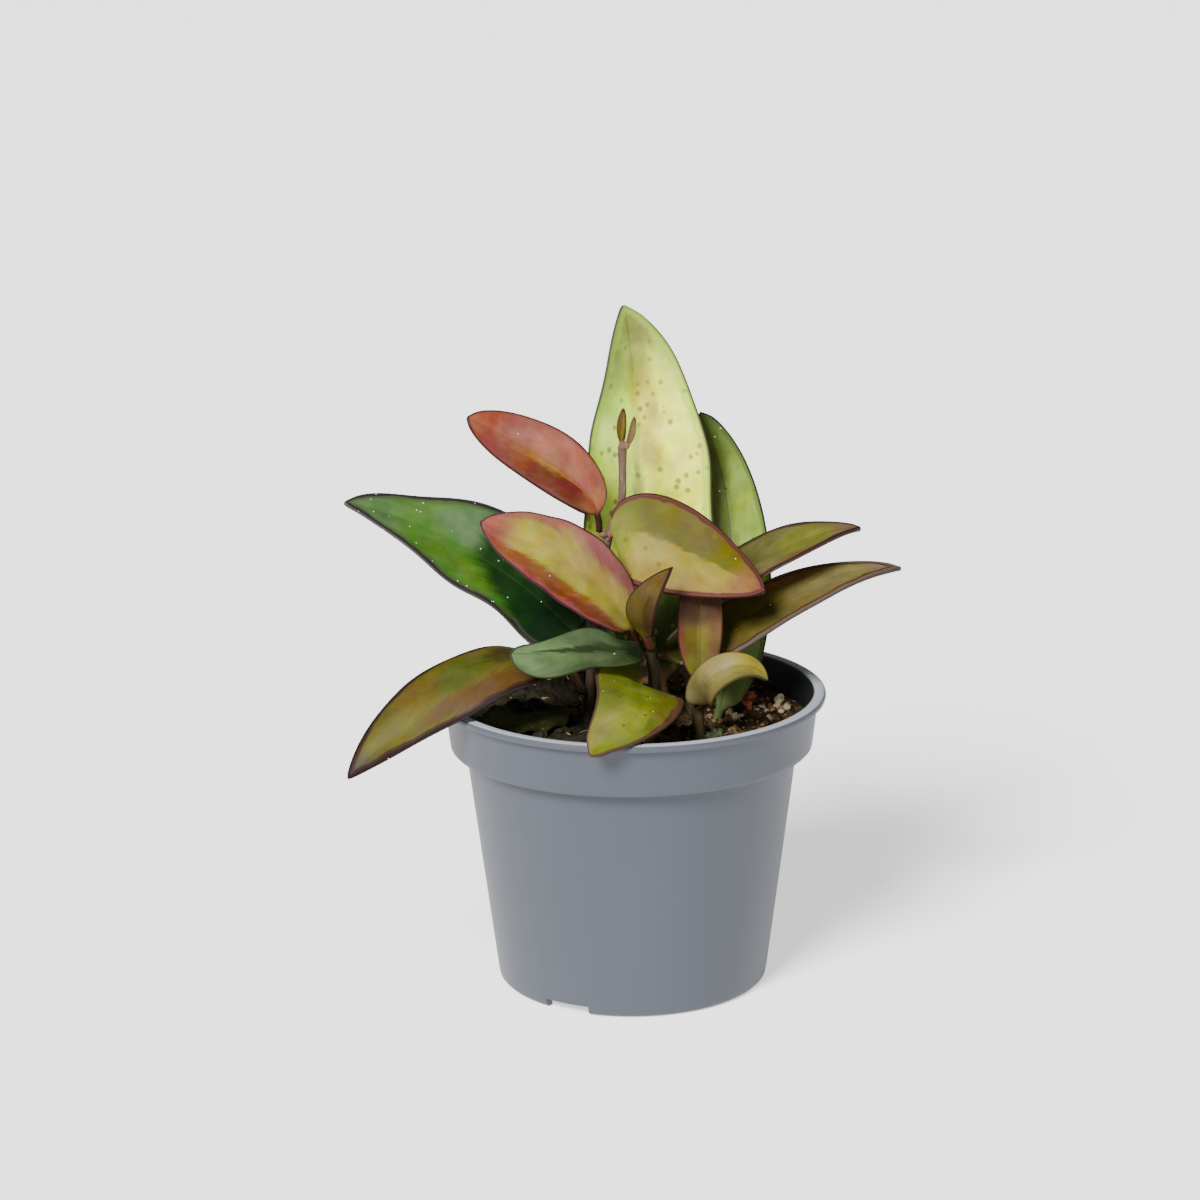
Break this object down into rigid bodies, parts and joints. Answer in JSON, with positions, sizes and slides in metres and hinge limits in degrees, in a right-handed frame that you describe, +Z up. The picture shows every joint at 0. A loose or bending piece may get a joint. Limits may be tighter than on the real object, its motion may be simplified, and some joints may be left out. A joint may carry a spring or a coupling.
{
  "type": "rosita hoya",
  "caption": "Young climbing hoya with thick, waxy, pointed leaves in green, lime, olive, terracotta and yellow, growing in a grey-blue plastic nursery pot of peat mix.",
  "frame": {"origin": "middle of the pot's foot, on the surface that it stands on", "axes": "+Z up out of the pot, -Y towards the small lime leaf that hangs over the front of the rim, +X towards the two long olive leaves"},
  "size_m": [0.1272, 0.0945, 0.1552],
  "materials": {
    "pot_plastic": "matt moulded polypropylene",
    "peat_mix": "loose dark peat",
    "stem_tan": "satin",
    "stem_dark": "satin",
    "leaf_cream_green": "waxy",
    "leaf_green": "waxy",
    "leaf_terracotta": "waxy",
    "leaf_yellow": "waxy",
    "leaf_dark_olive": "waxy",
    "leaf_pink_olive": "waxy",
    "leaf_olive": "waxy",
    "leaf_deep_green": "waxy",
    "leaf_sage": "waxy",
    "leaf_lime": "waxy",
    "leaf_old": "dull",
    "bud_brown": "satin"
  },
  "bodies": {
    "root": {"pot": "pot_plastic", "soil": "peat_mix", "stem_main": "stem_tan", "stem_front": "stem_dark", "stem_right": "stem_dark", "stem_rear": "stem_tan", "leaf_tall_pale": "leaf_cream_green", "leaf_tall_green": "leaf_green", "leaf_terracotta": "leaf_terracotta", "leaf_yellow_left": "leaf_yellow", "leaf_young": "leaf_dark_olive", "leaf_yellow_right": "leaf_yellow", "leaf_narrow_pink": "leaf_pink_olive", "leaf_small_curled": "leaf_yellow", "leaf_upper_right": "leaf_olive", "leaf_lower_right": "leaf_dark_olive", "leaf_green_left": "leaf_deep_green", "leaf_sage": "leaf_sage", "leaf_low_left": "leaf_olive", "leaf_front": "leaf_lime", "leaf_old_dark": "leaf_old", "bud_tall": "bud_brown", "bud_small": "bud_brown"}
  },
  "joints": []
}
